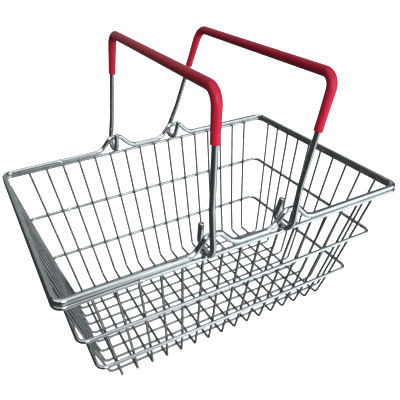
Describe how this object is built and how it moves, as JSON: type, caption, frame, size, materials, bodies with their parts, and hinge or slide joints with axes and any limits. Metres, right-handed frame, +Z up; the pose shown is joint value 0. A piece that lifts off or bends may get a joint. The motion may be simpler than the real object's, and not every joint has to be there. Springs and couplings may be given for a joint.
{
  "type": "shopping basket",
  "caption": "Wire shopping basket with tapering mesh walls, a humped rim and two folding carrying handles with soft plastic sleeves.",
  "frame": {"origin": "on the ground under the middle of the basket", "axes": "+Z up, +X along the long side, +Y across it; each handle turns about a line close to +Y"},
  "size_m": [0.4472, 0.3469, 0.3698],
  "materials": {
    "rim_plating": "bright plated steel rod",
    "hoop_plating": "bright plated steel wire",
    "mesh_plating": "bright plated steel wire, slightly duller, with weld spots",
    "rod_plating": "bright plated steel rod, drawn along its length",
    "grip_plastic": "soft red plastic sleeve, satin gloss"
  },
  "bodies": {
    "basket": {"rim": "rim_plating", "collar_hoop": "hoop_plating", "middle_hoop": "hoop_plating", "lower_hoop": "hoop_plating", "cross_wire_01": "mesh_plating", "cross_wire_02": "mesh_plating", "cross_wire_03": "mesh_plating", "cross_wire_04": "mesh_plating", "cross_wire_05": "mesh_plating", "cross_wire_06": "mesh_plating", "cross_wire_07": "mesh_plating", "cross_wire_08": "mesh_plating", "cross_wire_09": "mesh_plating", "cross_wire_10": "mesh_plating", "cross_wire_11": "mesh_plating", "cross_wire_12": "mesh_plating", "cross_wire_13": "mesh_plating", "cross_wire_14": "mesh_plating", "cross_wire_15": "mesh_plating", "cross_wire_16": "mesh_plating", "long_wire_01": "mesh_plating", "long_wire_02": "mesh_plating", "long_wire_03": "mesh_plating", "long_wire_04": "mesh_plating", "long_wire_05": "mesh_plating", "long_wire_06": "mesh_plating", "long_wire_07": "mesh_plating", "long_wire_08": "mesh_plating", "long_wire_09": "mesh_plating", "long_wire_10": "mesh_plating"},
    "left_handle": {"left_handle_rod": "rod_plating", "left_grip": "grip_plastic"},
    "right_handle": {"right_handle_rod": "rod_plating", "right_grip": "grip_plastic"}
  },
  "joints": [
    {"name": "left_handle_hinge", "type": "hinge", "parent": "basket", "child": "left_handle", "pos_m": [-0.0575, 0, 0.19316], "axis": [0.0209, 0.9998, 0], "range_deg": [-90.3, 8.2]},
    {"name": "right_handle_hinge", "type": "hinge", "parent": "basket", "child": "right_handle", "pos_m": [0.041, 0, 0.19316], "axis": [0.0209, 0.9998, 0], "range_deg": [-34.4, 64.1]}
  ]
}
